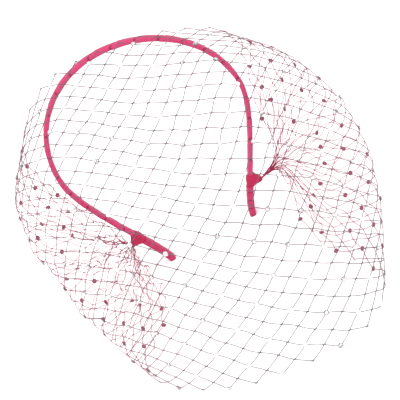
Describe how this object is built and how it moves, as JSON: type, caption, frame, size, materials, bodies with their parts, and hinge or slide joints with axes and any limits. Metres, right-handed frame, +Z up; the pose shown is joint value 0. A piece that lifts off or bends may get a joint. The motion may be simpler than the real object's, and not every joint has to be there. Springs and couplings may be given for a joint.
{
  "type": "birdcage veil",
  "caption": "Birdcage veil: coarse diamond net set with clear cut stones, gathered at both ends to the legs of a ribbon-wound headband",
  "frame": {"origin": "bottom centre of the whole piece's box, on the table it stands on", "axes": "+Z up, -Y towards the wearer's front, +X towards the wearer's left, which is the picture's right"},
  "size_m": [0.1954, 0.1706, 0.1577],
  "materials": {
    "satin_ribbon": "satin ribbon wound in slanting laps",
    "ribbon_winding": "thicker ribbon winding",
    "gather_binding": "net bound tightly with thread",
    "veil_netting": "fine net with clear cut stones"
  },
  "bodies": {
    "root": {"headband": "satin_ribbon", "end_wrap_left": "ribbon_winding", "end_wrap_right": "ribbon_winding", "gather_knot_left": "gather_binding", "gather_knot_right": "gather_binding", "veil_net": "veil_netting"}
  },
  "joints": []
}
